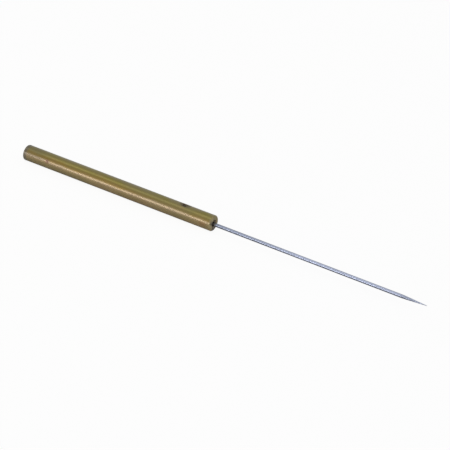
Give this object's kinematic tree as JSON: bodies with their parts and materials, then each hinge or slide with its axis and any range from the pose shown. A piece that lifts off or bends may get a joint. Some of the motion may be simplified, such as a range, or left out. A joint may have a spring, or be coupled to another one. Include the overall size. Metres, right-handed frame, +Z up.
{
  "type": "pricking awl",
  "caption": "Slim single-point pricking awl: a long straight steel needle held by a radial grub screw in a plain round brass handle.",
  "frame": {"origin": "on the handle's axis, halfway between its two end faces", "axes": "+X along the handle towards the needle's point; +Z up through the clamp screw, away from the bench; +Y completes the right-handed set"},
  "size_m": [0.227, 0.008, 0.008],
  "materials": {
    "aged_brass": "satin, evenly tarnished to an olive brown",
    "turned_brass": "turned, dulled by age",
    "needle_steel": "bright drawn, slightly blue",
    "black_steel": "black oxide"
  },
  "bodies": {
    "handle": {"handle_tube": "aged_brass", "needle_bush": "turned_brass", "rear_plug": "turned_brass"},
    "needle": {"needle": "needle_steel"},
    "clamp_screw": {"clamp_screw": "black_steel"}
  },
  "joints": [
    {"name": "needle_slide", "type": "slide", "parent": "handle", "child": "needle", "axis": [1, 0, 0], "range_m": [0, 0.024]},
    {"name": "clamp_screw_travel", "type": "slide", "parent": "handle", "child": "clamp_screw", "axis": [0, 0, 1], "range_m": [0, 0.004]}
  ]
}
